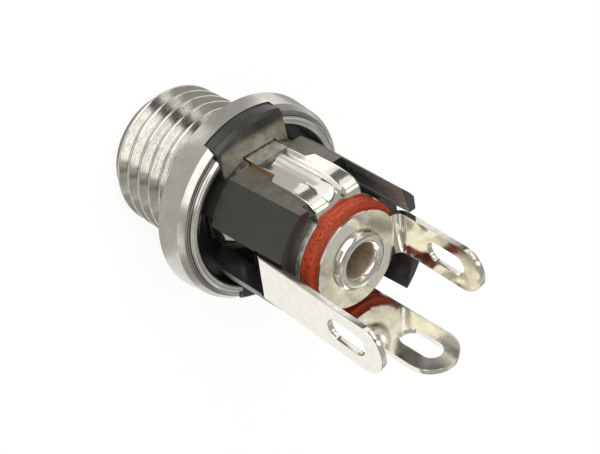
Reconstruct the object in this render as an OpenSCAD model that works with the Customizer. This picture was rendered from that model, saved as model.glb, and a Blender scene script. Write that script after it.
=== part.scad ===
/* Panel-mount DC power socket for a 5.5 mm plug, with three solder lugs.
   +Z runs back along the plug axis and z = 0 is the flange face that meets the panel.
   +Y points at the key and the contact strap, +X at the centre-pin lug. */

/* [Bushing] */
// Outside diameter of the thread
thread_d = 8; // [7.6:0.1:8.4]
// Pitch of the thread
thread_pitch = 0.9; // [0.75:0.05:1]
// Length in front of the flange
nose_len = 6.5; // [5.5:0.1:9]
// Diameter of the plug entry
bore_d = 5.9; // [5.7:0.1:6.2]
// Diameter of the flange, at its panel face
flange_d = 11.1; // [10.7:0.1:12]
// Thickness of the flange
flange_t = 1.8; // [1.6:0.1:2.2]
// Diameter of the recess behind the flange
recess_d = 8.8; // [8.6:0.1:9.2]
// Height of the recess floor above the panel face
recess_floor = 0.5; // [0.4:0.05:0.6]
// Depth of the two key notches
notch_depth = 0.8; // [0.6:0.05:0.9]
// Height of the rolled lip round the recess
lip_h = 0.15; // [0.1:0.05:0.2]
// Width of the rolled lip
lip_w = 0.4; // [0.3:0.05:0.45]

/* [Insulator] */
// Diameter of the moulded body
body_d = 8; // [7.8:0.1:8.2]
// Height of the rear face that the strap disc lies on
body_rear = 7.2; // [6.8:0.1:8]
// Height of the tops of the finger and the post
finger_top = 9.1; // [8.8:0.1:9.8]
// Height of the flat under the strap, measured from the axis
strap_seat = 3.34; // [3.3:0.02:3.4]
// Width of the two keys
key_w = 4.2; // [4:0.1:5]
// Angle of the keys from the line of the strap
key_turn = 5; // [0:0.5:6]
// How far the lower key stays inside the flange edge
lower_key_inset = 0.12; // [0.1:0.02:0.3]
// Rear face of the keys
key_rear = 1.96; // [1.9:0.02:2.1]
// Depth of the plug cavity behind the panel face
cavity_depth = 3.6; // [3.3:0.1:3.9]

/* [Contacts] */
// Sheet thickness of the three contacts
sheet_t = 0.3; // [0.25:0.05:0.35]
// Width of the strap behind its shoulders
strap_w = 2.86; // [2.6:0.02:3]
// Width of the strap in front of its shoulders
strap_nose_w = 2; // [1.8:0.1:2.3]
// Diameter of the strap's disc
disc_d = 5.9; // [5.7:0.1:6]
// Width of the solder lugs
lug_w = 2.4; // [2.2:0.1:2.6]
// Height of the lug tips above the panel face
lug_top = 14; // [13:0.1:16]
// Width of the slot in each lug
slot_w = 1.15; // [0.9:0.05:1.3]
// Length of the slot in each lug
slot_len = 2.4; // [1.8:0.1:2.6]

/* [Centre pin] */
// Diameter of the pin that enters the plug
pin_d = 2.1; // [2:0.1:2.1]
// How far the pin's tip stays inside the nose
pin_inset = 1; // [0.5:0.1:2]
// Diameter of the shank behind the shoulder
shank_d = 2.4; // [2.3:0.1:2.5]
// Diameter of the rolled eyelet
eyelet_d = 3.2; // [3:0.1:3.4]
// Diameter of the hole in the eyelet
eyelet_hole_d = 1.86; // [1.6:0.02:1.9]

/* [Washer and ring] */
// Diameter of the fibre washer
washer_d = 5.8; // [5.6:0.1:5.9]
// Thickness of the fibre washer
washer_t = 0.6; // [0.5:0.05:0.7]
// Diameter of the ring on the centre-pin lug
ring_d = 5.15; // [5:0.05:5.3]

/* [Fits] */
// Gap between the insulator and the bushing, on radius and depth
seat_gap = 0.02; // [0.01:0.01:0.03]
// Gap round the shank in the insulator, on radius
shank_gap = 0.02; // [0.01:0.01:0.04]
// Gap round the shank in the strap's disc, on radius
disc_gap = 0.5; // [0.4:0.05:0.6]
// Gap between a contact and the slot that it passes through
slot_gap = 0.08; // [0.05:0.01:0.1]

/* [Hidden] */
$fn = 72;
eps = 0.01;

// thread form: 60 degree flanks, crest flat pitch/8, root flat pitch/4
thread_depth = thread_pitch * 0.5413;
thread_turns = floor((nose_len - 1.9) / thread_pitch);
first_crest = -nose_len + 1.32;
nose_chamfer = 0.45;
root_r = thread_d / 2 - thread_depth;
relief_len = 0.45;
face_start_r = thread_d / 2 + 0.06;

// flange rim: how much it narrows to the rear, how far its rear edge lies below the lip, and the
// bevel on that edge
rim_taper = 0.15;
rim_drop = 0.45;
rim_bevel = [0.25, 0.28];
rim_break = 0.05;

// the stack behind the insulator, front to rear
washer_z = body_rear + sheet_t;
ring_z = washer_z + washer_t;
eyelet_z = ring_z + sheet_t;

cavity_r = bore_d / 2 - 0.05;
neck_r = body_d / 2 - 0.25;
disc_rear = recess_floor + 0.5;
body_front = 2.35;
body_taper = 0.025;
corner_floor = 5.3;
flank_angle = 30;
flank_r = body_d / 2 - 0.08;
prong_face = 3.2;
prong_tilt = 16;
// flat that takes the sharp corner off the upper prong, as distance from the axis and angle
prong_corner = 3.45;
prong_corner_turn = 5;
tab_half = lug_w / 2 + 0.22;

// contacts
strap_bend = 0.75;
shoulder_z = 4.15;
shoulder_len = 0.25;
rib_start = 2.95;
rib_half = 0.55;
rib_h = 0.3;
// half of the rib's section, as [distance from its middle, height above the strap]
rib_crown_r = (rib_half * rib_half + rib_h * rib_h) / (2 * rib_h);
rib_profile = [for (step = [0 : 6]) let (x = rib_half * step / 6)
    [x, rib_h - rib_crown_r + sqrt(rib_crown_r * rib_crown_r - x * x)]];
rib_hollow = [[0, 0.2], [0.13, 0.2], [0.34, 0]];
sleeve_lug_y = 3.04;
sleeve_lug_w = lug_w + 0.38;
tight_bend = 0.1;
neck_fillet = 0.5;

pin_lug_x = 2.82;
pin_lug_short = 0.25;
pin_lug_bend = 0.45;
pin_lug_lean = 3.5;

spring_lug_x = 3.93;
spring_lug_splay = 2;
spring_z = 5.55;
spring_w = 2.52;
leaf_w = 1.2;
leaf_shift = 0.2;
// centre line of the sprung leaf, as [distance from the axis, height]
leaf_path = [[2.75, spring_z + sheet_t / 2], [2.4, 4.3], [2.26, 3.5], [2.24, 2.8], [2.42, 2.25],
             [2.76, 1.8], [3, 1.4], [3.04, 1.1]];

// ---- shared shapes -------------------------------------------------------

// flat lug outline: straight from y = 0, round at the far end, slotted
module lug_outline(w, len, slot_back = 0) {
    difference() {
        union() {
            translate([-w / 2, 0]) square([w, len - w / 2]);
            translate([0, len - w / 2]) circle(w / 2);
        }
        translate([0, len - w / 2 - slot_back]) slot_outline();
    }
}

module slot_outline() {
    run = slot_len - slot_w;
    translate([-slot_w / 2, -run / 2]) square([slot_w, run]);
    for (end = [-1, 1]) translate([0, end * run / 2]) circle(slot_w / 2);
}

// quarter-ring section of a bend, swept `turn` degrees from the x axis
module bend_section(inner, thick, turn) {
    reach = 2 * (inner + thick);
    intersection() {
        difference() {
            circle(inner + thick);
            circle(inner);
        }
        polygon([[0, 0], [reach, 0], [reach, reach * tan(turn / 2)],
                 [reach * cos(turn), reach * sin(turn)]]);
    }
}

// strip of constant thickness along a path, with round joints
module ribbon(path, thick) {
    for (i = [0 : len(path) - 2]) {
        step = path[i + 1] - path[i];
        translate(path[i]) rotate(atan2(step[1], step[0]))
            translate([0, -thick / 2]) square([norm(step), thick]);
    }
    for (i = [1 : len(path) - 1]) translate(path[i]) circle(thick / 2, $fn = 24);
}

// ---- bushing -------------------------------------------------------------

// one tooth of the thread section, root to root
function tooth(z) = let (half = thread_pitch / 2)
    [[root_r, z - half + thread_pitch / 8], [thread_d / 2, z - thread_pitch / 16],
     [thread_d / 2, z + thread_pitch / 16], [root_r, z + half - thread_pitch / 8]];

module bushing_section() {
    bore = bore_d / 2;
    flange_r = flange_d / 2;
    rear_r = flange_r - rim_taper;
    recess_r = recess_d / 2;
    polygon(concat(
        [[bore, recess_floor], [bore, -nose_len + 0.25], [bore + 0.25, -nose_len],
         [thread_d / 2 - nose_chamfer, -nose_len], [thread_d / 2, -nose_len + nose_chamfer],
         [root_r, -nose_len + nose_chamfer + thread_depth * tan(30)]],
        [for (i = [0 : thread_turns - 1]) each tooth(first_crest + i * thread_pitch)],
        [[root_r, -relief_len], [face_start_r, 0], [flange_r - rim_break, 0], [flange_r, rim_break],
         [rear_r, flange_t - rim_drop], [rear_r - rim_bevel[0], flange_t - rim_drop + rim_bevel[1]]],
        [for (turn = [0 : 30 : 180])
            [recess_r + lip_w * (1 + cos(turn)) / 2, flange_t + lip_h * sin(turn)]],
        [[recess_r, recess_floor]]));
}

module bushing() {
    color("silver") difference() {
        rotate_extrude() bushing_section();
        for (side = [0, 1]) mirror([0, side, 0]) rotate(key_turn)
            translate([-key_w / 2 - seat_gap, 0, flange_t - notch_depth])
                cube([key_w + 2 * seat_gap, flange_d, notch_depth + lip_h + eps]);
    }
}

// ---- insulator -----------------------------------------------------------

module insulator_key(inset) {
    seat_z = flange_t - notch_depth + seat_gap;
    recess_r = recess_d / 2 - seat_gap;
    outer_r = flange_d / 2 - rim_taper - 0.02 - inset;
    top_z = key_rear - inset / 2;
    intersection() {
        rotate(key_turn) translate([-key_w / 2, 2.8, 0]) cube([key_w, 3, key_rear]);
        rotate_extrude() polygon([
            [2, disc_rear - eps], [recess_r, disc_rear - eps], [recess_r, seat_z], [outer_r, seat_z],
            [outer_r, top_z - 0.2], [outer_r - 0.18, top_z], [2, top_z]]);
    }
}

// body behind the flange: a slightly tapered round with a flat top and two flat flanks
module body_blank(front, rear) {
    front_r = body_d / 2 + 0.1;
    intersection() {
        translate([0, 0, front])
            cylinder(h = rear - front, r1 = front_r, r2 = front_r - body_taper * (rear - front));
        translate([-body_d, -body_d, front]) cube([2 * body_d, body_d + strap_seat, rear - front]);
        for (side = [0, 1]) mirror([side, 0, 0]) rotate(90 - flank_angle)
            translate([-body_d, -2 * body_d + flank_r, front]) cube([2 * body_d, 2 * body_d, rear - front]);
    }
}

// half-space outside the flat inner side of a prong
module prong_side() {
    rotate(prong_tilt) translate([prong_face, -body_d, 0]) cube([body_d, 2 * body_d, 2 * finger_top]);
}

// space behind the rear face, round the finger and the post that stand on it
module rear_cut() {
    difference() {
        translate([-body_d, -body_d, body_rear]) cube([2 * body_d, 2 * body_d, finger_top]);
        for (side = [0, 1]) mirror([0, side, 0]) intersection() {
            translate([0, tab_half, 0]) cube([body_d, body_d, 2 * finger_top]);
            prong_side();
        }
    }
}

// open corners between the strap and the prongs
module corner_cuts() {
    for (side = [0, 1]) mirror([0, side, 0]) difference() {
        translate([strap_w / 2 + 0.12, tab_half, corner_floor]) cube([body_d, body_d, body_rear]);
        prong_side();
    }
}

module insulator() {
    color("dimgray") difference() {
        union() {
            translate([0, 0, recess_floor + seat_gap])
                cylinder(h = 0.5 - seat_gap, r = recess_d / 2 - seat_gap);
            translate([0, 0, disc_rear - eps]) cylinder(h = body_front - disc_rear + 2 * eps, r = neck_r);
            body_blank(body_front, finger_top);
            insulator_key(0);
            mirror([0, 1, 0]) insulator_key(lower_key_inset);
        }
        // plug cavity, and the bore for the shank behind it
        translate([0, 0, -eps]) cylinder(h = cavity_depth + eps, r = cavity_r);
        cylinder(h = finger_top, r = shank_d / 2 + shank_gap);
        rear_cut();
        strap_channel();
        corner_cuts();
        rotate(prong_corner_turn) translate([prong_corner, -tab_half / 2, body_rear])
            cube([body_d, body_d, finger_top]);
        spring_pocket();
        finger_pocket();
    }
}

module strap_channel() {
    w = strap_nose_w + 2 * slot_gap;
    // slot through the key and the disc for the foot of the strap
    translate([-w / 2, strap_seat, 0]) cube([w, sheet_t + slot_gap, body_front]);
    translate([-w / 2, strap_seat, key_rear]) cube([w, 1, body_front]);
    // relief under the rear bend
    translate([-strap_w / 2 - 0.25, strap_seat, body_rear - strap_bend + sheet_t])
        rotate([-45, 0, 0]) translate([0, -1, 0]) cube([strap_w + 0.5, 2, 2]);
}

// flat for the spring contact's lug, the slot where it enters, and the window over its leaf
module spring_pocket() {
    flat_x = spring_lug_x - sheet_t - 0.03;
    translate([-body_d - flat_x, -tab_half, spring_z - slot_gap])
        cube([body_d, 2 * tab_half, body_rear]);
    translate([-body_d, leaf_shift - leaf_w / 2 - slot_gap, spring_z - slot_gap])
        cube([body_d - 2.3, leaf_w + 2 * slot_gap, sheet_t + 2 * slot_gap]);
    translate([-3.3, leaf_shift - leaf_w / 2 - slot_gap, disc_rear - 0.1])
        cube([1, leaf_w + 2 * slot_gap, spring_z - disc_rear + 0.2]);
    translate([-body_d, -1.2, disc_rear]) cube([body_d - 2.6, 2.55, spring_z - slot_gap - disc_rear + eps]);
}

// shallow pocket in the inner side of the upper prong
module finger_pocket() {
    rotate(prong_tilt) translate([prong_face - 0.3, 0.75, corner_floor + 0.2]) cube([0.42, 1.1, 2.9]);
}

// ---- contacts ------------------------------------------------------------

module centre_pin() {
    tip = pin_inset - nose_len;
    roll = (eyelet_d - eyelet_hole_d) / 4;
    color("lightgray") union() {
        rotate_extrude() difference() {
            union() {
                translate([0, tip + 0.4]) square([pin_d / 2, cavity_depth - tip - 0.4]);
                translate([0, tip]) square([pin_d / 2 - 0.4, 0.5]);
                translate([pin_d / 2 - 0.4, tip + 0.4]) circle(0.4);
                translate([0, cavity_depth - 0.5]) square([shank_d / 2 + 0.3, 0.5]);
                translate([0, cavity_depth - eps]) square([shank_d / 2, eyelet_z - cavity_depth + 2 * eps]);
                intersection() {
                    translate([eyelet_d / 2 - roll, eyelet_z]) circle(roll);
                    translate([0, eyelet_z]) square([eyelet_d, eyelet_d]);
                }
            }
            translate([0, body_rear - 2]) square([eyelet_hole_d / 2, 10]);
            translate([-10, tip - 1]) square([10, 30]);
        }
    }
}

module fibre_washer() {
    color("orangered") translate([0, 0, washer_z]) difference() {
        cylinder(h = washer_t, d = washer_d);
        translate([0, 0, -eps]) cylinder(h = washer_t + 2 * eps, r = shank_d / 2 + shank_gap);
    }
}

// strap seen from the side, in [y, z]: foot, run over the insulator and the rear bend
module strap_run_section() {
    translate([strap_seat, recess_floor])
        square([sheet_t, body_rear + sheet_t - strap_bend - recess_floor]);
    translate([strap_seat + sheet_t - strap_bend, body_rear + sheet_t - strap_bend])
        bend_section(strap_bend - sheet_t, sheet_t, 90);
}

// strap seen from above, in [x, z]
module strap_outline() {
    translate([-strap_nose_w / 2, recess_floor]) square([strap_nose_w, shoulder_z]);
    polygon([[-strap_nose_w / 2, shoulder_z], [-strap_w / 2, shoulder_z + shoulder_len],
             [-strap_w / 2, washer_z], [strap_w / 2, washer_z],
             [strap_w / 2, shoulder_z + shoulder_len], [strap_nose_w / 2, shoulder_z]]);
}

// strap disc seen from behind, with filleted necks to the strap and to the lug
module disc_outline() {
    disc_r = disc_d / 2;
    neck = strap_w / 2;
    fillet_x = neck + neck_fillet;
    fillet_y = sqrt(pow(disc_r + neck_fillet, 2) - fillet_x * fillet_x);
    circle(disc_r);
    translate([-neck, 0]) square([strap_w, strap_seat + sheet_t - strap_bend]);
    translate([-sleeve_lug_w / 2, -sleeve_lug_y + tight_bend]) square([sleeve_lug_w, sleeve_lug_y]);
    for (side = [0, 1]) mirror([side, 0]) difference() {
        translate([neck - eps, disc_r / 2]) square([neck_fillet * 0.6, fillet_y - disc_r / 2]);
        translate([fillet_x, fillet_y]) circle(neck_fillet);
    }
}

// half section of the rib, carried down into the sheet
module rib_section() {
    root = -sheet_t / 3;
    polygon(concat(rib_profile, [[rib_half, root], [0, root]]));
}

// pressed rib: round at the front, straight along the strap, then fading out over the rear bend
module rib() {
    top_y = strap_seat + sheet_t;
    start = rib_start + rib_half;
    bend_z = washer_z - strap_bend;
    translate([0, top_y, start]) rotate([-90, 0, 0]) rotate_extrude() rib_section();
    for (side = [0, 1]) mirror([side, 0, 0]) {
        translate([0, top_y, start]) linear_extrude(bend_z - start) rib_section();
        intersection() {
            translate([0, top_y - strap_bend + rib_h, bend_z]) rotate([0, 90, 0]) rotate_extrude()
                translate([strap_bend - rib_h, 0]) rotate(-90) mirror([1, 0]) rib_section();
            translate([-eps, top_y - strap_bend + rib_h, bend_z - eps]) cube(body_d);
        }
    }
}

// hollow pressed into the underside of the strap under the straight part of the rib
module rib_underside() {
    for (side = [0, 1]) mirror([side, 0, 0])
        translate([0, strap_seat, rib_start + rib_half])
            linear_extrude(washer_z - strap_bend - rib_start - 2 * rib_half)
                polygon(concat(rib_hollow, [[0.34, -eps], [0, -eps]]));
}

module sleeve_contact() {
    lug_len = lug_top + 0.2 - (body_rear + sheet_t + tight_bend);
    color("lightgray") difference() {
        union() {
            intersection() {
                rotate([90, 0, 90]) translate([0, 0, -body_d]) linear_extrude(2 * body_d) strap_run_section();
                rotate([90, 0, 0]) translate([0, 0, -body_d]) linear_extrude(2 * body_d) strap_outline();
            }
            translate([0, 0, body_rear]) linear_extrude(sheet_t) disc_outline();
            rib();
            translate([-sleeve_lug_w / 2, -sleeve_lug_y + tight_bend, washer_z + tight_bend])
                rotate([90, 0, 90]) linear_extrude(sleeve_lug_w)
                    rotate(180) bend_section(tight_bend, sheet_t, 90);
            translate([0, -sleeve_lug_y, washer_z + tight_bend]) rotate([90, 0, 0])
                linear_extrude(sheet_t) lug_outline(sleeve_lug_w, lug_len, slot_back = 0.55);
        }
        rib_underside();
        translate([0, 0, -eps]) cylinder(h = body_rear + 1, r = shank_d / 2 + disc_gap);
    }
}

module pin_lug() {
    turn = 90 + pin_lug_lean;
    hub = [pin_lug_x - pin_lug_bend, ring_z + sheet_t + pin_lug_bend];
    lug_len = lug_top - pin_lug_short - hub[1];
    color("gainsboro") union() {
        translate([0, 0, ring_z]) linear_extrude(sheet_t) difference() {
            union() {
                circle(d = ring_d);
                translate([0, -lug_w / 2]) square([hub[0], lug_w]);
            }
            circle(shank_d / 2 + shank_gap);
        }
        translate([hub[0], 0, hub[1]]) {
            rotate([90, 0, 0]) translate([0, 0, -lug_w / 2]) linear_extrude(lug_w)
                rotate(-90) bend_section(pin_lug_bend, sheet_t, turn);
            rotate([0, -pin_lug_lean, 0]) translate([pin_lug_bend, 0, 0]) rotate([90, 0, 90])
                linear_extrude(sheet_t) lug_outline(lug_w, lug_len, slot_back = 1.05);
        }
    }
}

module spring_contact() {
    hub = [spring_lug_x - sheet_t - tight_bend, spring_z + sheet_t + tight_bend];
    color("whitesmoke") mirror([1, 0, 0]) union() {
        // riser: wide at the lug, narrow inside the insulator
        translate([hub[0] - 0.25, -spring_w / 2, spring_z]) cube([0.25, spring_w, sheet_t]);
        translate([leaf_path[0][0], leaf_shift - leaf_w / 2, spring_z])
            cube([hub[0] - leaf_path[0][0], leaf_w, sheet_t]);
        rotate([90, 0, 0]) translate([0, 0, -leaf_shift - leaf_w / 2]) linear_extrude(leaf_w)
            ribbon(leaf_path, sheet_t);
        translate([hub[0], 0, hub[1]]) {
            rotate([90, 0, 0]) translate([0, 0, -spring_w / 2]) linear_extrude(spring_w)
                rotate(-90) bend_section(tight_bend, sheet_t, 90 - spring_lug_splay);
            rotate([0, spring_lug_splay, 0]) translate([tight_bend, 0, 0]) rotate([90, 0, 90])
                linear_extrude(sheet_t) lug_outline(spring_w, lug_top - hub[1], slot_back = 1);
        }
    }
}

bushing();
insulator();
centre_pin();
sleeve_contact();
spring_contact();
fibre_washer();
pin_lug();
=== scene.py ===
"""Looks of the panel-mount DC power socket. Metres, in the CAD frame: +Z runs back to the lugs."""

import math

import bmesh
import bpy
from mathutils import Matrix, Vector


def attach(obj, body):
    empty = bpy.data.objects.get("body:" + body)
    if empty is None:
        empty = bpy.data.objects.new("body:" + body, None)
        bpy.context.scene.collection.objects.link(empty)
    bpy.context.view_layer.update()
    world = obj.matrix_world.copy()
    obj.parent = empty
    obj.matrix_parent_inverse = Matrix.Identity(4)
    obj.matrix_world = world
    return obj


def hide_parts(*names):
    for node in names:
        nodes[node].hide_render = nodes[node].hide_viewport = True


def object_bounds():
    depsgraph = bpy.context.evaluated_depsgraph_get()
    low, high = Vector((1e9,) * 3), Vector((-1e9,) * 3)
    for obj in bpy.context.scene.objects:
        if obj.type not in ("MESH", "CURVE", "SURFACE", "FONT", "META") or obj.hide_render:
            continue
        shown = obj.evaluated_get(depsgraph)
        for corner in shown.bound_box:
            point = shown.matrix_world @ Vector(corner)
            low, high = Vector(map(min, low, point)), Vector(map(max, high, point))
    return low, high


MM = 0.001
TAU = 2 * math.pi

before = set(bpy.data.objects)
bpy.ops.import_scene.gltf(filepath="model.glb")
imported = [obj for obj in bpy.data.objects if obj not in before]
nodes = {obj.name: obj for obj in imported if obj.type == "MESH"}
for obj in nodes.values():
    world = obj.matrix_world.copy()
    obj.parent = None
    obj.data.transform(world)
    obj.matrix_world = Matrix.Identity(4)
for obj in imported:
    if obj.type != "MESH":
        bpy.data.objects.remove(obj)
cad_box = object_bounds()


# ---- camera ----------------------------------------------------------------

CAMERA_RIGHT = Vector((0.7284, -0.1064, 0.6768))
CAMERA_UP = Vector((0.4796, 0.7847, -0.3928))
CAMERA_BACK = Vector((-0.4893, 0.6107, 0.6226))
CAMERA_AT = Vector((-26.47, 32.96, 37.98)) * MM
SENSOR_WIDTH = 36
FOCAL_LENGTH = 65.09


def make_camera():
    data = bpy.data.cameras.new("camera")
    data.sensor_width = SENSOR_WIDTH
    data.lens = FOCAL_LENGTH
    data.clip_start = 0.001
    data.clip_end = 20
    camera = bpy.data.objects.new("camera", data)
    bpy.context.scene.collection.objects.link(camera)
    turn = Matrix((CAMERA_RIGHT, CAMERA_UP, CAMERA_BACK)).transposed()
    camera.matrix_world = Matrix.Translation(CAMERA_AT) @ turn.to_4x4()
    bpy.context.scene.camera = camera


# ---- node helpers ----------------------------------------------------------


class Nodes:
    """Short calls for building a node tree."""

    def __init__(self, tree):
        self.tree = tree
        self.tree.nodes.clear()

    def add(self, kind, values=None, **settings):
        node = self.tree.nodes.new(kind)
        for name, value in settings.items():
            setattr(node, name, value)
        for name, value in (values or {}).items():
            self.set(node.inputs[name], value)
        return node

    def set(self, socket, value):
        if isinstance(value, bpy.types.NodeSocket):
            self.tree.links.new(value, socket)
        elif isinstance(value, tuple) and len(value) == 3 and socket.type == "RGBA":
            socket.default_value = (*value, 1)
        else:
            socket.default_value = value

    def math(self, operation, a, b=0.0):
        return self.add("ShaderNodeMath", {0: a, 1: b}, operation=operation).outputs[0]

    def product(self, first, *others):
        for other in others:
            first = self.math("MULTIPLY", first, other)
        return first

    def split(self, vector):
        """The three parts of a vector."""
        return self.add("ShaderNodeSeparateXYZ", {0: vector}).outputs

    def mix(self, factor, a, b):
        node = self.add("ShaderNodeMix", data_type="RGBA")
        self.set(node.inputs[0], factor)
        self.set(node.inputs[6], a)
        self.set(node.inputs[7], b)
        return node.outputs[2]

    def ramp(self, value, low, high, to_low=0.0, to_high=1.0):
        """A smooth rise from `to_low` at `low` to `to_high` at `high`."""
        values = {
            "Value": value,
            "From Min": low,
            "From Max": high,
            "To Min": to_low,
            "To Max": to_high,
        }
        node = self.add("ShaderNodeMapRange", values, interpolation_type="SMOOTHSTEP")
        return node.outputs["Result"]

    def fall(self, value, low, high):
        """1 up to `low`, then smoothly down to 0 at `high`."""
        return self.ramp(value, low, high, 1.0, 0.0)

    def noise(self, vector, scale, detail=3.0, rough=0.55):
        node = self.add(
            "ShaderNodeTexNoise",
            {"Vector": vector, "Scale": scale, "Detail": detail, "Roughness": rough},
        )
        return node.outputs[0]

    def stretch(self, vector, scale):
        return self.add("ShaderNodeMapping", {"Vector": vector, "Scale": scale}).outputs[0]

    def bump(self, height, distance):
        values = {"Height": height, "Distance": distance, "Strength": 1.0}
        return self.add("ShaderNodeBump", values).outputs[0]

    def millimetres(self):
        """Position on the piece, in millimetres."""
        place = self.add("ShaderNodeTexCoord").outputs["Object"]
        return self.stretch(place, (1000, 1000, 1000))


def new_material(name):
    material = bpy.data.materials.new(name)
    material.use_nodes = True
    n = Nodes(material.node_tree)
    shader = n.add("ShaderNodeBsdfPrincipled")
    output = n.add("ShaderNodeOutputMaterial")
    n.set(output.inputs["Surface"], shader.outputs[0])
    return material, n, shader


# ---- materials -------------------------------------------------------------
# Bump depths are in metres. Ranges are in millimetres: where a mask starts, and where it is full.

SHEET_RIPPLE = 0.000014
LATHE_DEPTH = 0.0000045
STREAK_DEPTH = 0.00001
PLASTIC_DEPTH = 0.000008
FIBRE_DEPTH = 0.00005

# Painted dark reflection in the ring of lathe grooves on the flange's rear face, and a darker
# colour within the thread's root radius in front of the flange: the colour, then where each lies.
PAINTED_RING_AND_DARK_ROOTS = (0.07, 0.066, 0.058)
GROOVE_INNER, GROOVE_OUTER, GROOVE_Z = (4.78, 4.86), (5.12, 5.18), (1.55, 1.62)
ROOT_DARK_WIDTH = 0.16
THREAD_END_Z = (-0.3, -0.1)

PLASTIC, PLASTIC_PALE = (0.026, 0.027, 0.025), (0.036, 0.036, 0.033)
PLASTIC_SPECK = (0.24, 0.23, 0.21)
PLASTIC_SHADE = (0.004, 0.004, 0.004)
# Painted light on the upward flats near the top: its colour and the y range.
FLAT_PAINTED_LIGHT, FLAT_LOW_Y, FLAT_HIGH_Y = (0.15, 0.136, 0.114), (2.6, 3.0), (3.5, 3.9)
# Painted light on the key's rear face, as if lit by light that the strap reflects: its colour and
# range.
KEY_PAINTED_LIGHT, KEY_LOW_Y, KEY_HIGH_Y = (0.34, 0.31, 0.25), (3.0, 3.3), (4.2, 4.8)
KEY_REAR_Z, KEY_SIDE_X = (2.3, 2.6), (2.2, 2.5)
# Painted light on the finger's inner side: its colour and range.
FINGER_PAINTED_LIGHT, FINGER_X, FINGER_Y = (0.20, 0.20, 0.185), (1.8, 2.0), (0.2, 0.5)
SHADE_Y, SHADE_SHARE = (0.2, 1.6), (0.42, 1.0)
FACING = (0.90, 0.99)

FIBRE, FIBRE_DARK, FIBRE_PIT = (0.56, 0.070, 0.018), (0.40, 0.040, 0.010), (0.24, 0.018, 0.005)


def plated_sheet(name, colour, roughness=0.11, ripple=1.0):
    """Nickel on pressed sheet: bright and nearly flat, with a fine rolling grain."""
    material, n, shader = new_material(name)
    place = n.millimetres()
    slow = n.noise(place, 0.9, 2)
    fine = n.noise(n.stretch(place, (14, 14, 1.5)), 1.0, 4)
    blot = n.noise(place, 3.1, 4)
    n.set(shader.inputs["Metallic"], 1.0)
    darker = tuple(c * 0.93 for c in colour)
    n.set(shader.inputs["Base Color"], n.mix(n.ramp(blot, 0.35, 0.7), colour, darker))
    n.set(shader.inputs["Roughness"], n.ramp(blot, 0.3, 0.7, roughness * 0.75, roughness * 1.35))
    height = n.math("ADD", slow, n.product(fine, 0.05))
    n.set(shader.inputs["Normal"], n.bump(height, SHEET_RIPPLE * ripple))
    return material


def turned_nickel(name, colour, roughness, marks=1.0, darkening=0.0):
    """Nickel over turned brass: lathe marks round the axis, a fine satin grain, and with
    `darkening` a painted dark reflection in the ring of lathe grooves on the flange's rear face and
    a darker colour within the thread's root radius in front of the flange.
    """
    material, n, shader = new_material(name)
    place = n.millimetres()
    x, y, z = n.split(place)
    radius = n.math("SQRT", n.math("ADD", n.product(x, x), n.product(y, y)))
    rings = n.add("ShaderNodeCombineXYZ", {0: radius, 1: z, 2: 0.0}).outputs[0]
    lathe = n.noise(rings, 17.0, 3, 0.7)
    grain = n.noise(place, 26.0, 3)
    blot = n.noise(place, 1.3, 4)
    n.set(shader.inputs["Metallic"], 1.0)
    darker = tuple(c * 0.84 for c in colour)
    base = n.mix(n.ramp(blot, 0.3, 0.75), colour, darker)
    if darkening:
        # Painted dark reflection in the ring of lathe grooves on the rear face; darker within the
        # thread's root radius in front of the flange.
        groove = n.product(
            n.ramp(radius, *GROOVE_INNER),
            n.fall(radius, *GROOVE_OUTER),
            n.ramp(z, *GROOVE_Z),
            n.ramp(lathe, 0.42, 0.56),
        )
        root = n.product(n.fall(radius, ROOT_R, ROOT_R + ROOT_DARK_WIDTH), n.fall(z, *THREAD_END_Z))
        base = n.mix(n.product(n.math("MAXIMUM", groove, root), darkening), base, PAINTED_RING_AND_DARK_ROOTS)
    n.set(shader.inputs["Base Color"], base)
    n.set(shader.inputs["Roughness"], n.ramp(blot, 0.3, 0.7, roughness * 0.8, roughness * 1.25))
    height = n.math("ADD", n.product(lathe, 0.6 * marks), n.product(grain, 0.25))
    n.set(shader.inputs["Normal"], n.bump(height, LATHE_DEPTH))
    return material


def bare_metal(name, light, dark, roughness):
    """Unplated metal for the cut edge of a sheet, and a rough light-brown metal for the inside of
    the rolled pin, lighter there as painted light.
    """
    material, n, shader = new_material(name)
    place = n.millimetres()
    streak = n.noise(n.stretch(place, (9, 9, 3)), 1.0, 4)
    n.set(shader.inputs["Metallic"], 1.0)
    n.set(shader.inputs["Base Color"], n.mix(n.ramp(streak, 0.35, 0.7), light, dark))
    n.set(shader.inputs["Roughness"], roughness)
    n.set(shader.inputs["Normal"], n.bump(streak, STREAK_DEPTH))
    return material


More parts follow.
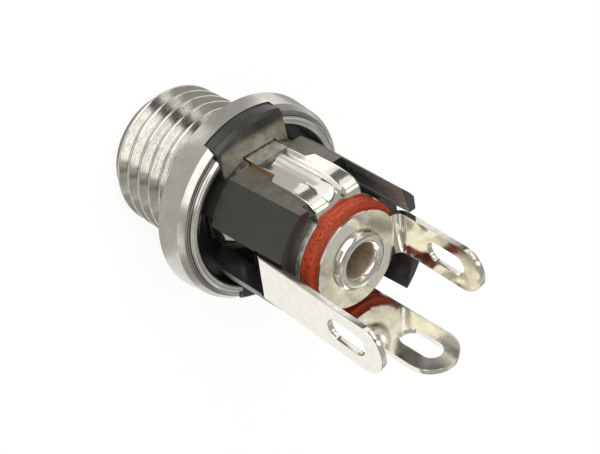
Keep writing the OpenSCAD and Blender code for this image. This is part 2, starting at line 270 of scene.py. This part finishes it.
def moulded_plastic(name):
    """Dark grey plastic: semi-gloss, faint flow marks, a few pale specks; painted light makes the
    upward flats lighter and brown, and also lightens the key's rear face and the finger's inner
    side, and painted shade darkens the low parts.
    """
    material, n, shader = new_material(name)
    place = n.millimetres()
    flow = n.noise(n.stretch(place, (0.5, 0.5, 0.2)), 1.0, 3)
    skin = n.noise(place, 22.0, 3)
    cells = n.add("ShaderNodeTexVoronoi", {"Vector": place, "Scale": 1.5})
    speck = n.math("LESS_THAN", cells.outputs["Distance"], 0.05)
    base = n.mix(n.ramp(flow, 0.3, 0.7), PLASTIC, PLASTIC_PALE)
    x, y, z = n.split(place)
    facing = n.split(n.add("ShaderNodeNewGeometry").outputs["Normal"])
    # Painted light: the upward flats near the top are lighter and brown, in patches.
    flat = n.product(n.ramp(facing[1], *FACING), n.ramp(y, *FLAT_LOW_Y), n.fall(y, *FLAT_HIGH_Y))
    # Painted light: the key's rear face is lighter and brown, in patches, as if lit by the strap's
    # reflected light.
    key_rear = n.product(
        n.ramp(facing[2], *FACING),
        n.ramp(y, *KEY_LOW_Y),
        n.fall(y, *KEY_HIGH_Y),
        n.fall(z, *KEY_REAR_Z),
        n.fall(n.math("ABSOLUTE", x), *KEY_SIDE_X),
    )
    # Painted light: the finger's inner side is lighter, and is kept out of the painted shade below.
    finger = n.product(n.ramp(x, *FINGER_X), n.fall(facing[0], -0.5, 0.0), n.ramp(y, *FINGER_Y))
    lit = n.math("MAXIMUM", n.ramp(y, *SHADE_Y, *SHADE_SHARE), finger)
    patch = n.ramp(n.noise(place, 1.6, 4, 0.65), 0.25, 0.65, 0.45, 1.0)
    base = n.mix(n.product(flat, patch), base, FLAT_PAINTED_LIGHT)
    base = n.mix(n.product(key_rear, patch), base, KEY_PAINTED_LIGHT)
    base = n.mix(finger, base, FINGER_PAINTED_LIGHT)
    base = n.mix(lit, PLASTIC_SHADE, base)
    n.set(shader.inputs["Base Color"], n.mix(speck, base, PLASTIC_SPECK))
    n.set(shader.inputs["Roughness"], n.ramp(flow, 0.3, 0.7, 0.25, 0.36))
    height = n.math("ADD", n.product(skin, 0.35), flow)
    n.set(shader.inputs["Normal"], n.bump(height, PLASTIC_DEPTH))
    return material


def red_fibre(name):
    """Vulcanised fibre: pressed faces, torn and pitted rim."""
    material, n, shader = new_material(name)
    place = n.millimetres()
    grain = n.noise(n.stretch(place, (5, 5, 11)), 1.0, 5, 0.7)
    cells = n.add("ShaderNodeTexVoronoi", {"Vector": n.stretch(place, (5, 5, 7)), "Scale": 1.0})
    pits = n.fall(cells.outputs["Distance"], 0.12, 0.38)
    facing = n.split(n.add("ShaderNodeNewGeometry").outputs["Normal"])
    rim = n.ramp(n.math("ABSOLUTE", facing[2]), 0.3, 0.8, 1.0, 0.15)
    base = n.mix(n.ramp(grain, 0.3, 0.7), FIBRE, FIBRE_DARK)
    pitted = n.product(pits, rim)
    n.set(shader.inputs["Base Color"], n.mix(pitted, base, FIBRE_PIT))
    n.set(shader.inputs["Roughness"], 0.52)
    height = n.math("SUBTRACT", n.product(grain, 0.8), pitted)
    n.set(shader.inputs["Normal"], n.bump(height, FIBRE_DEPTH))
    return material


# ---- mesh helpers ----------------------------------------------------------


def make_object(name, mesh, materials, smooth_angle=35):
    piece = bpy.data.objects.new(name, mesh)
    bpy.context.scene.collection.objects.link(piece)
    for material in materials:
        mesh.materials.append(material)
    mesh.polygons.foreach_set("use_smooth", [True] * len(mesh.polygons))
    mesh.set_sharp_from_angle(angle=math.radians(smooth_angle))
    weigh_normals(piece)
    return piece


def weigh_normals(piece):
    """Keeps flat faces flat beside rounded edges."""
    modifier = piece.modifiers.new("normals", "WEIGHTED_NORMAL")
    modifier.keep_sharp = True
    modifier.weight = 50


def stand_in(piece, node):
    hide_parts(node)
    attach(piece, "root")


CREASE = math.radians(30)


def softened(node, name, materials, edge, segments=3, pick=None, top=None):
    """A copy of a CAD node with its sharp edges rounded by `edge` millimetres.

    `pick` gives a face's material, and what lies above y = `top` is left to another piece.
    """
    mesh = nodes[node].data.copy()
    mesh.materials.clear()
    work = bmesh.new()
    work.from_mesh(mesh)
    bmesh.ops.remove_doubles(work, verts=work.verts, dist=2e-7)
    if top is not None:
        everything = work.verts[:] + work.edges[:] + work.faces[:]
        bmesh.ops.bisect_plane(
            work, geom=everything, plane_co=(0, top * MM, 0), plane_no=(0, 1, 0), clear_outer=True
        )
    bmesh.ops.dissolve_limit(
        work, angle_limit=math.radians(0.5), verts=work.verts, edges=work.edges
    )
    sharp = [
        e
        for e in work.edges
        if len(e.link_faces) == 2 and e.calc_face_angle(0) > CREASE
    ]
    bmesh.ops.bevel(
        work,
        geom=sharp,
        offset=edge * MM,
        offset_type="OFFSET",
        segments=segments,
        profile=0.5,
        affect="EDGES",
        clamp_overlap=True,
    )
    if pick:
        for face in work.faces:
            face.material_index = pick(face)
    work.to_mesh(mesh)
    work.free()
    for layer in [a for a in mesh.attributes if a.name == "custom_normal"]:
        mesh.attributes.remove(layer)
    stand_in(make_object(name, mesh, materials), node)


def revolve(section, columns):
    """Vertices and faces of an open row of [radius, height] points turned about the axis."""
    vertices, faces = [], []
    for j in range(columns):
        c, s = math.cos(TAU * j / columns), math.sin(TAU * j / columns)
        vertices += [(r * c, r * s, z) for r, z in section]
    count = len(section)
    for j in range(columns):
        a, b = j * count, (j + 1) % columns * count
        for i in range(count - 1):
            faces.append((a + i, b + i, b + i + 1, a + i + 1))
    return vertices, faces


def round_corners(points, radii, steps=4):
    """The closed polygon with its corners rounded; radii match the points."""
    out = []
    count = len(points)
    for i, (point, radius) in enumerate(zip(points, radii)):
        p = Vector(point)
        if radius <= 0:
            out.append((p.x, p.y))
            continue
        a = (Vector(points[i - 1]) - p).normalized()
        b = (Vector(points[(i + 1) % count]) - p).normalized()
        half = a.angle(b) / 2
        reach = radius / math.tan(half)
        centre = p + (a + b).normalized() * (radius / math.sin(half))
        start = (p + a * reach - centre).normalized()
        end = (p + b * reach - centre).normalized()
        for k in range(steps + 1):
            spoke = centre + start.slerp(end, k / steps, start) * radius
            out.append((spoke.x, spoke.y))
    return out


def to_mesh(name, vertices, faces):
    mesh = bpy.data.meshes.new(name)
    mesh.from_pydata([Vector(v) * MM for v in vertices], [], faces)
    mesh.validate()
    work = bmesh.new()
    work.from_mesh(mesh)
    bmesh.ops.remove_doubles(work, verts=work.verts, dist=1e-8)
    bmesh.ops.recalc_face_normals(work, faces=work.faces)
    work.to_mesh(mesh)
    work.free()
    return mesh


# ---- bushing ---------------------------------------------------------------

THREAD_R = 4.0
PITCH = 0.9
ROOT_R = THREAD_R - 0.5413 * PITCH
NOSE = -6.5
FIRST_CREST = NOSE + 1.32
NOSE_R = THREAD_R - 0.45
NOSE_RUN = 0.12
RELIEF = -0.45
RELIEF_RUN = 0.5
COLUMNS = 240
KEY_WIDTH = 4.24
KEY_TURN = 5
NOTCH_FLOOR = 1.0
FLANGE_T = 1.8
RECESS_R = 4.4
RECESS_FLOOR = 0.5
LIP_W = 0.4
LIP_H = 0.15
LIP_STEPS = 12
FLANGE_R = 5.55
BORE_R = 2.95


def thread_sleeve():
    """Right-handed helical thread from the nose's rim to the relief at the flange."""
    tooth = [
        (-0.45, ROOT_R),
        (-0.36, ROOT_R),
        (-0.315, ROOT_R + 0.03),
        (-0.085, THREAD_R - 0.035),
        (-0.04, THREAD_R),
        (0.04, THREAD_R),
        (0.085, THREAD_R - 0.035),
        (0.315, ROOT_R + 0.03),
        (0.36, ROOT_R),
    ]
    rows = [
        (FIRST_CREST + PITCH * turn + offset, radius)
        for turn in range(-3, 7)
        for offset, radius in tooth
    ]
    vertices = []
    for j in range(COLUMNS):
        angle = TAU * j / COLUMNS
        for z, radius in rows:
            z = min(max(z + PITCH * j / COLUMNS, NOSE), RELIEF)
            radius = min(radius, NOSE_R + z - NOSE)
            start = min(1.0, (z - NOSE) / NOSE_RUN)
            radius = NOSE_R + (radius - NOSE_R) * start
            end = min(1.0, (RELIEF - z) / RELIEF_RUN)
            radius = ROOT_R + (radius - ROOT_R) * end
            vertices.append((radius * math.cos(angle), radius * math.sin(angle), z))
    count, step = len(rows), len(tooth)
    faces = []
    for j in range(COLUMNS):
        wrap = j == COLUMNS - 1
        a, b = j * count, 0 if wrap else (j + 1) * count
        shift = step if wrap else 0
        for i in range(count - 1 - shift):
            faces.append((a + i, b + i + shift, b + i + 1 + shift, a + i + 1))
    return vertices, faces


def bushing_section():
    """The turned profile without its thread, as [radius, height, corner radius]."""
    turns = [math.pi * i / LIP_STEPS for i in range(1, LIP_STEPS)]
    lip = [
        (RECESS_R + LIP_W * (1 + math.cos(turn)) / 2, FLANGE_T + LIP_H * math.sin(turn), 0)
        for turn in turns
    ]
    points = [
        (ROOT_R, RELIEF, 0),
        (4.06, 0, 0.03),
        (FLANGE_R - 0.05, 0, 0.02),
        (FLANGE_R, 0.05, 0.02),
        (5.4, 1.35, 0.05),
        (5.15, 1.63, 0.05),
        (RECESS_R + LIP_W, FLANGE_T, 0),
        *lip,
        (RECESS_R, FLANGE_T, 0),
        (RECESS_R, RECESS_FLOOR, 0.02),
        (BORE_R, RECESS_FLOOR, 0.03),
        (BORE_R, -6.25, 0.05),
        (3.2, NOSE, 0.05),
        (NOSE_R, NOSE, 0),
    ]
    return round_corners([p[:2] for p in points], [p[2] for p in points])


def cut(piece, *tools):
    """Takes the tools' solids out of the piece."""
    for tool in tools:
        modifier = piece.modifiers.new("cut", "BOOLEAN")
        modifier.object = tool
        modifier.solver = "EXACT"
    graph = bpy.context.evaluated_depsgraph_get()
    mesh = bpy.data.meshes.new_from_object(piece.evaluated_get(graph))
    piece.modifiers.clear()
    piece.data = mesh
    for tool in tools:
        bpy.data.objects.remove(tool)


def notch_block(side):
    """The block that cuts the key's notch, on the +Y side for 1 and the -Y side for -1."""
    half = KEY_WIDTH / 2
    corners = [
        (x, y, z)
        for z in (NOTCH_FLOOR, 3)
        for x, y in ((-half, 2), (half, 2), (half, 7), (-half, 7))
    ]
    turn = Matrix.Rotation(math.radians(KEY_TURN), 4, "Z")
    corners = [turn @ Vector(c) for c in corners]
    corners = [(c.x, c.y * side, c.z) for c in corners]
    faces = [(0, 1, 2, 3), (4, 5, 6, 7), (0, 1, 5, 4), (1, 2, 6, 5), (2, 3, 7, 6), (3, 0, 4, 7)]
    return make_object("notch", to_mesh("notch", corners, faces), [])


def make_bushing(materials):
    """The bushing with its thread; the barrel has the second of its two materials."""
    vertices, faces = thread_sleeve()
    section = bushing_section()
    more, rest = revolve(section, COLUMNS)
    start = len(vertices)
    faces += [tuple(start + i for i in face) for face in rest]
    mesh = to_mesh("bushing_turned", vertices + more, faces)
    piece = make_object("bushing_turned", mesh, materials)
    for face in mesh.polygons:
        middle = face.center / MM
        barrel = middle.z < -0.05 and math.hypot(middle.x, middle.y) > 3.2
        face.material_index = int(barrel)
    cut(piece, notch_block(1), notch_block(-1))
    piece.data.set_sharp_from_angle(angle=math.radians(35))
    weigh_normals(piece)
    stand_in(piece, "bushing")


# ---- strap -----------------------------------------------------------------

STRAP_TOP = 3.64
SHEET_T = 0.3
STRAP_FRONT = 0.5
DISC_TOP = 7.5
NOSE_HALF = 1.0
STRAP_HALF = 1.43
SHOULDER = (4.15, 4.4)
BEND_R = 0.75
SAG_START = 5.6
SAG_TURN = math.radians(17)
RIB_FRONT = 3.5
RIB_HALF = 0.62
RIB_H = 0.3
RIB_FADE = (math.radians(25), math.radians(80))
PATH_STEP = 0.07
SAG_STEPS = 18
BEND_STEPS = 20
TUCK = (0.08, 0.004)
STRAP_COLUMNS = 48
EDGE_IN = 0.045
EDGE_CHAMFER = 0.013
STRAP_SMOOTH = 40
FOOT_END = 2.9
# Where the rib's crest gets its painted highlight: its left edge and its end.
CREST_LEFT = -0.28
CREST_END = 6.4


def strap_path():
    """Points along the strap's upper side, as [y, z, lean]: flat, a slow sag, then the bend."""
    bend_z = DISC_TOP - BEND_R * (1 - math.sin(SAG_TURN))
    flat = [STRAP_FRONT, 1.5, 2.2] + [2.7 + PATH_STEP * i for i in range(42)]
    path = [(STRAP_TOP, z, 0.0) for z in flat if z < SAG_START]
    y = STRAP_TOP
    length = bend_z - SAG_START
    for i in range(SAG_STEPS + 1):
        lean = SAG_TURN * i / SAG_STEPS
        if i:
            y -= math.tan(lean - SAG_TURN / SAG_STEPS / 2) * length / SAG_STEPS
        path.append((y, SAG_START + length * i / SAG_STEPS, lean))
    for i in range(1, BEND_STEPS + 1):
        lean = SAG_TURN + (math.pi / 2 - SAG_TURN) * i / BEND_STEPS
        drop = BEND_R * (math.cos(SAG_TURN) - math.cos(lean))
        path.append((y - drop, DISC_TOP - BEND_R * (1 - math.sin(lean)), lean))
    return path


def rib_height(x, z, lean):
    """How far the rib stands out, with a round front end and fading out over the bend."""
    away = math.hypot(x, max(0.0, RIB_FRONT - z)) / RIB_HALF
    if away >= 1:
        return 0.0
    fade = 1 - max(0.0, lean - RIB_FADE[0]) / (RIB_FADE[1] - RIB_FADE[0])
    return RIB_H * max(0.0, fade) * (1 + math.cos(math.pi * away)) / 2


def strap_row(z, lean):
    """The strap's section as [x, height above its upper side], from one cut edge to the other."""
    share = min(1.0, max(0.0, (z - SHOULDER[0]) / (SHOULDER[1] - SHOULDER[0])))
    half = NOSE_HALF + (STRAP_HALF - NOSE_HALF) * share
    edge = [(half - EDGE_CHAMFER, -EDGE_CHAMFER), (half, -EDGE_IN), (half, -SHEET_T)]
    across = [(half - EDGE_IN) * (2 * i / STRAP_COLUMNS - 1) for i in range(STRAP_COLUMNS + 1)]
    return [
        *((-x, height) for x, height in reversed(edge)),
        *((x, rib_height(x, z, lean)) for x in across),
        *edge,
    ]


def strap_material(face):
    """0 for the plated sheet, 1 for its bare edge, 2 for the foot and 3 for the rib's crest, which
    gets a brighter sheet as a painted highlight.
    """
    x, z = face.center.x / MM, face.center.z / MM
    if abs(face.normal.x) > 0.9 and z < SHOULDER[1]:
        return 1
    if face.normal.y <= 0.5:
        return 0
    if z < FOOT_END:
        return 2
    return 3 if x > CREST_LEFT and rib_height(x, z, 0) > 0.05 and z < CREST_END else 0


def make_strap(materials):
    """The strap down to its neck, where the softened sheet takes over; returns the neck's y."""
    vertices, faces = [], []
    path = strap_path()
    y, z, lean = path[-1]
    path.append((y - TUCK[0], z - TUCK[1], lean))
    for y, z, lean in path:
        row = strap_row(z, lean)
        vertices += [(x, y + up * math.cos(lean), z + up * math.sin(lean)) for x, up in row]
    count = len(row)
    for j in range(len(path) - 1):
        for i in range(count):
            a, b = j * count + i, j * count + (i + 1) % count
            faces.append((a, b, b + count, a + count))
    faces.append(tuple(range(count)))
    faces.append(tuple(range(len(vertices) - count, len(vertices))))
    mesh = to_mesh("sleeve_contact_strap", vertices, faces)
    piece = make_object("sleeve_contact_strap", mesh, materials, STRAP_SMOOTH)
    for face in mesh.polygons:
        face.material_index = strap_material(face)
    stand_in(piece, "sleeve_contact")
    return path[-2][0]


# ---- stage -----------------------------------------------------------------

# What the camera and the metal see of the floor: its own white, and paint that keeps the shadow.
FLOOR_GLOW = 0.77
SHADOW_PAINT = (0.36, 0.36, 0.36)
FLOOR_PAINT = (0.86, 0.86, 0.86)
FLOOR_HALF = 3.0
CARD_LIFT = 0.1
CARD_COLOUR = (1.0, 0.97, 0.92)
ROOM = (0.42, 0.41, 0.385)

# Azimuth and height of each soft box or dark flag, its half width and height in degrees,
# its soft edge, and its light.
BOXES = [
    (-50, 33, 16, 14, 4, (0.64, 0.63, 0.60)),
    (-125, 60, 14, 7, 2, (0.80, 0.78, 0.72)),
    (-158, 21, 18, 7, 2, (1.05, 1.03, 0.97)),
    (-172, 41, 9, 6, 2, (0.33, 0.31, 0.28)),
    (-176, 44, 2.2, 2.2, 0.6, (0.85, 0.83, 0.77)),
    (-168, 40, 1.8, 2.5, 0.6, (0.06, 0.06, 0.06)),
    (-161, 40, 1.6, 2.2, 0.6, (0.75, 0.73, 0.68)),
    (140, 65, 20, 7, 2, (0.16, 0.16, 0.15)),
    (130, 41.5, 33, 12, 2, (2.05, 2.02, 1.94)),
    (130, 44, 20, 1.6, 0.8, (0.25, 0.25, 0.24)),
    (56, 18.5, 7, 16.5, 2, (1.45, 1.43, 1.35)),
    (42, 49, 11, 8, 2, (1.4, 1.375, 1.30)),
    (69, 42, 7, 4, 1, (0.02, 0.02, 0.02)),
]

# Two corners of each card, in millimetres, and its brightness.
CARDS = [
    ("card_side", (-30, -8), (-5.5, 30), 0.62),
    ("card_bright", (-5.5, 10), (-1.5, 14.3), 1.45),
    ("card_middle", (-5.5, 14.3), (-1.5, 22), 0.58),
    ("card_near", (-1.5, 8), (9.5, 22), 0.50),
    ("card_low", (9.5, -14), (50, 4), 0.45),
    ("card_far", (0, 24), (60, 48), 0.15),
    ("card_white", (9.5, 8), (22, 17), 1.35),
]

# The lamp's direction from the part's middle, distance and size in metres, and watts.
LAMP = ((-0.25, 0.93, 0.28), 0.30, (0.25, 0.15), 0.35)
LAMP_AIM = Vector((0, 0, 4)) * MM


def lay(name, corners):
    """A flat piece of the stage, and the nodes of its material."""
    mesh = bpy.data.meshes.new(name)
    mesh.from_pydata(corners, [], [(0, 1, 2, 3)])
    piece = bpy.data.objects.new(name, mesh)
    bpy.context.scene.collection.objects.link(piece)
    material = bpy.data.materials.new(name)
    material.use_nodes = True
    mesh.materials.append(material)
    return piece, Nodes(material.node_tree)


def show(n, shader):
    output = n.add("ShaderNodeOutputMaterial")
    n.set(output.inputs["Surface"], shader.outputs[0])


def make_floor(low):
    size = FLOOR_HALF
    corners = [(-size, -size, low), (size, -size, low), (size, size, low), (-size, size, low)]
    floor, n = lay("floor", corners)
    paint = n.add("ShaderNodeBsdfDiffuse", {"Color": FLOOR_PAINT})
    glow = n.add("ShaderNodeEmission", {"Color": (1.0, 1.0, 1.0), "Strength": FLOOR_GLOW})
    shade = n.add("ShaderNodeBsdfDiffuse", {"Color": SHADOW_PAINT})
    shown = n.add("ShaderNodeAddShader", {0: glow.outputs[0], 1: shade.outputs[0]})
    path = n.add("ShaderNodeLightPath")
    seen = n.math("MAXIMUM", path.outputs["Is Camera Ray"], path.outputs["Is Glossy Ray"])
    seen = n.math("MAXIMUM", seen, path.outputs["Is Transmission Ray"])
    show(n, n.add("ShaderNodeMixShader", {0: seen, 1: paint.outputs[0], 2: shown.outputs[0]}))


def make_card(name, near, far, grey):
    """A flat card just above the floor beside the part, which only the metal sees."""
    level = NOSE + CARD_LIFT
    corners = [(x, y, level) for x, y in (near, (far[0], near[1]), far, (near[0], far[1]))]
    card, n = lay(name, [Vector(c) * MM for c in corners])
    show(n, n.add("ShaderNodeEmission", {"Color": CARD_COLOUR, "Strength": grey}))
    card.visible_camera = False
    card.visible_diffuse = False
    card.visible_shadow = False
    card.visible_transmission = False


def make_world():
    """A studio round the part, white to the camera: an even room with soft boxes and dark flags."""
    world = bpy.data.worlds.new("studio")
    world.use_nodes = True
    n = Nodes(world.node_tree)
    toward = n.add("ShaderNodeTexCoord").outputs["Generated"]

    def along(axis):
        return n.add(
            "ShaderNodeVectorMath", {0: toward, 1: tuple(axis)}, operation="DOT_PRODUCT"
        ).outputs["Value"]

    colour = ROOM
    for azimuth, height, half_width, half_height, soft, light in BOXES:
        turn = Matrix.Rotation(math.radians(azimuth), 3, "Z") @ Matrix.Rotation(
            math.radians(-height), 3, "Y"
        )
        middle, across, above = (turn @ Vector(v) for v in ((1, 0, 0), (0, 1, 0), (0, 0, 1)))
        mask = n.math("GREATER_THAN", along(middle), 0.0)
        for axis, half in ((across, half_width), (above, half_height)):
            away = n.math("ABSOLUTE", along(axis))
            inner, outer = (math.sin(math.radians(half + s * soft)) for s in (-1, 1))
            mask = n.math("MULTIPLY", mask, n.ramp(away, inner, outer, 1.0, 0.0))
        colour = n.mix(mask, colour, light)
    path = n.add("ShaderNodeLightPath")
    studio = n.add("ShaderNodeBackground", {"Color": colour, "Strength": 1.0})
    white = n.add("ShaderNodeBackground", {"Color": (1.0, 1.0, 1.0), "Strength": 1.0})
    mixed = n.add(
        "ShaderNodeMixShader",
        {0: path.outputs["Is Camera Ray"], 1: studio.outputs[0], 2: white.outputs[0]},
    )
    output = n.add("ShaderNodeOutputWorld")
    n.set(output.inputs["Surface"], mixed.outputs[0])
    bpy.context.scene.world = world


def make_lamp(name, direction, distance, size, power):
    """A soft lamp that faces the part's middle from the given direction."""
    data = bpy.data.lights.new(name, "AREA")
    data.shape = "RECTANGLE"
    data.size, data.size_y = size
    data.energy = power
    lamp = bpy.data.objects.new(name, data)
    bpy.context.scene.collection.objects.link(lamp)
    away = Vector(direction).normalized()
    turn = away.to_track_quat("Z", "Y").to_matrix().to_4x4()
    lamp.matrix_world = Matrix.Translation(LAMP_AIM + away * distance) @ turn


make_camera()
make_world()
make_floor(cad_box[0].z)
for card in CARDS:
    make_card(*card)
make_lamp("overhead", *LAMP)

bpy.context.scene.view_settings.view_transform = "Standard"

sheet = plated_sheet("nickel_sheet", (0.85, 0.835, 0.775), ripple=0.5)
lug_sheet = plated_sheet("nickel_lug_sheet", (0.75, 0.725, 0.655), ripple=0.6)
# Painted highlight: a brighter, rougher copy of the sheet for the rib's crest.
crest_highlight_sheet = plated_sheet("nickel_rib_painted_highlight", (0.97, 0.96, 0.92), 0.30, ripple=0.3)
foot_sheet = plated_sheet("nickel_foot_sheet", (0.80, 0.79, 0.73), 0.45, ripple=0.5)
# The disc's punched edge: rough as punched, and lighter in colour as painted light.
punched_rim_painted_light = plated_sheet("nickel_punched_rim_painted_light", (0.92, 0.90, 0.83), 0.50, ripple=0.5)
spring_sheet = plated_sheet("nickel_spring_sheet", (0.87, 0.855, 0.785), 0.10, 0.25)
# Both turned nickels carry the painted dark groove ring and the darker roots.
turned = turned_nickel("nickel_turned", (0.62, 0.61, 0.575), 0.22, darkening=0.9)
threaded = turned_nickel("nickel_threaded", (0.62, 0.605, 0.56), 0.10, 2.0, 0.8)
rolled = turned_nickel("nickel_rolled", (0.80, 0.78, 0.72), 0.16)
brass = bare_metal("bare_brass", (0.88, 0.62, 0.34), (0.70, 0.46, 0.24), 0.30)
# Painted light: the rolled pin's inner wall is a lighter, rough metal.
inside = bare_metal("pin_bore_painted_light", (0.78, 0.68, 0.56), (0.62, 0.52, 0.42), 0.55)
plastic = moulded_plastic("dark_plastic")
fibre = red_fibre("red_fibre")


def eyelet_inside(face):
    """1 for the rolled pin's inner wall, which gets the lighter metal as painted light."""
    middle = face.calc_center_median() / MM
    return int(math.hypot(middle.x, middle.y) < 0.96 and middle.z > 5)


def disc_edge(face):
    """1 for the cut edge of the disc that the washer sits on, which gets a rough sheet as punched,
    lighter as painted light.
    """
    middle = face.calc_center_median() / MM
    radius = math.hypot(middle.x, middle.y)
    return int(2.88 < radius < 2.99 and 7.15 < middle.z < 7.55 and abs(face.normal.z) < 0.9)


make_bushing([turned, threaded])
softened("insulator", "insulator_moulding", [plastic], 0.09, segments=4)
softened("centre_pin", "centre_pin_rolled", [rolled, inside], 0.02, pick=eyelet_inside)
neck = make_strap([sheet, brass, foot_sheet, crest_highlight_sheet])
softened(
    "sleeve_contact",
    "sleeve_contact_sheet",
    [sheet, punched_rim_painted_light],
    0.03,
    pick=disc_edge,
    top=neck,
)
softened("spring_contact", "spring_contact_sheet", [spring_sheet], 0.03)
softened("fibre_washer", "fibre_washer_punched", [fibre], 0.04)
softened("pin_lug", "pin_lug_sheet", [lug_sheet], 0.03)
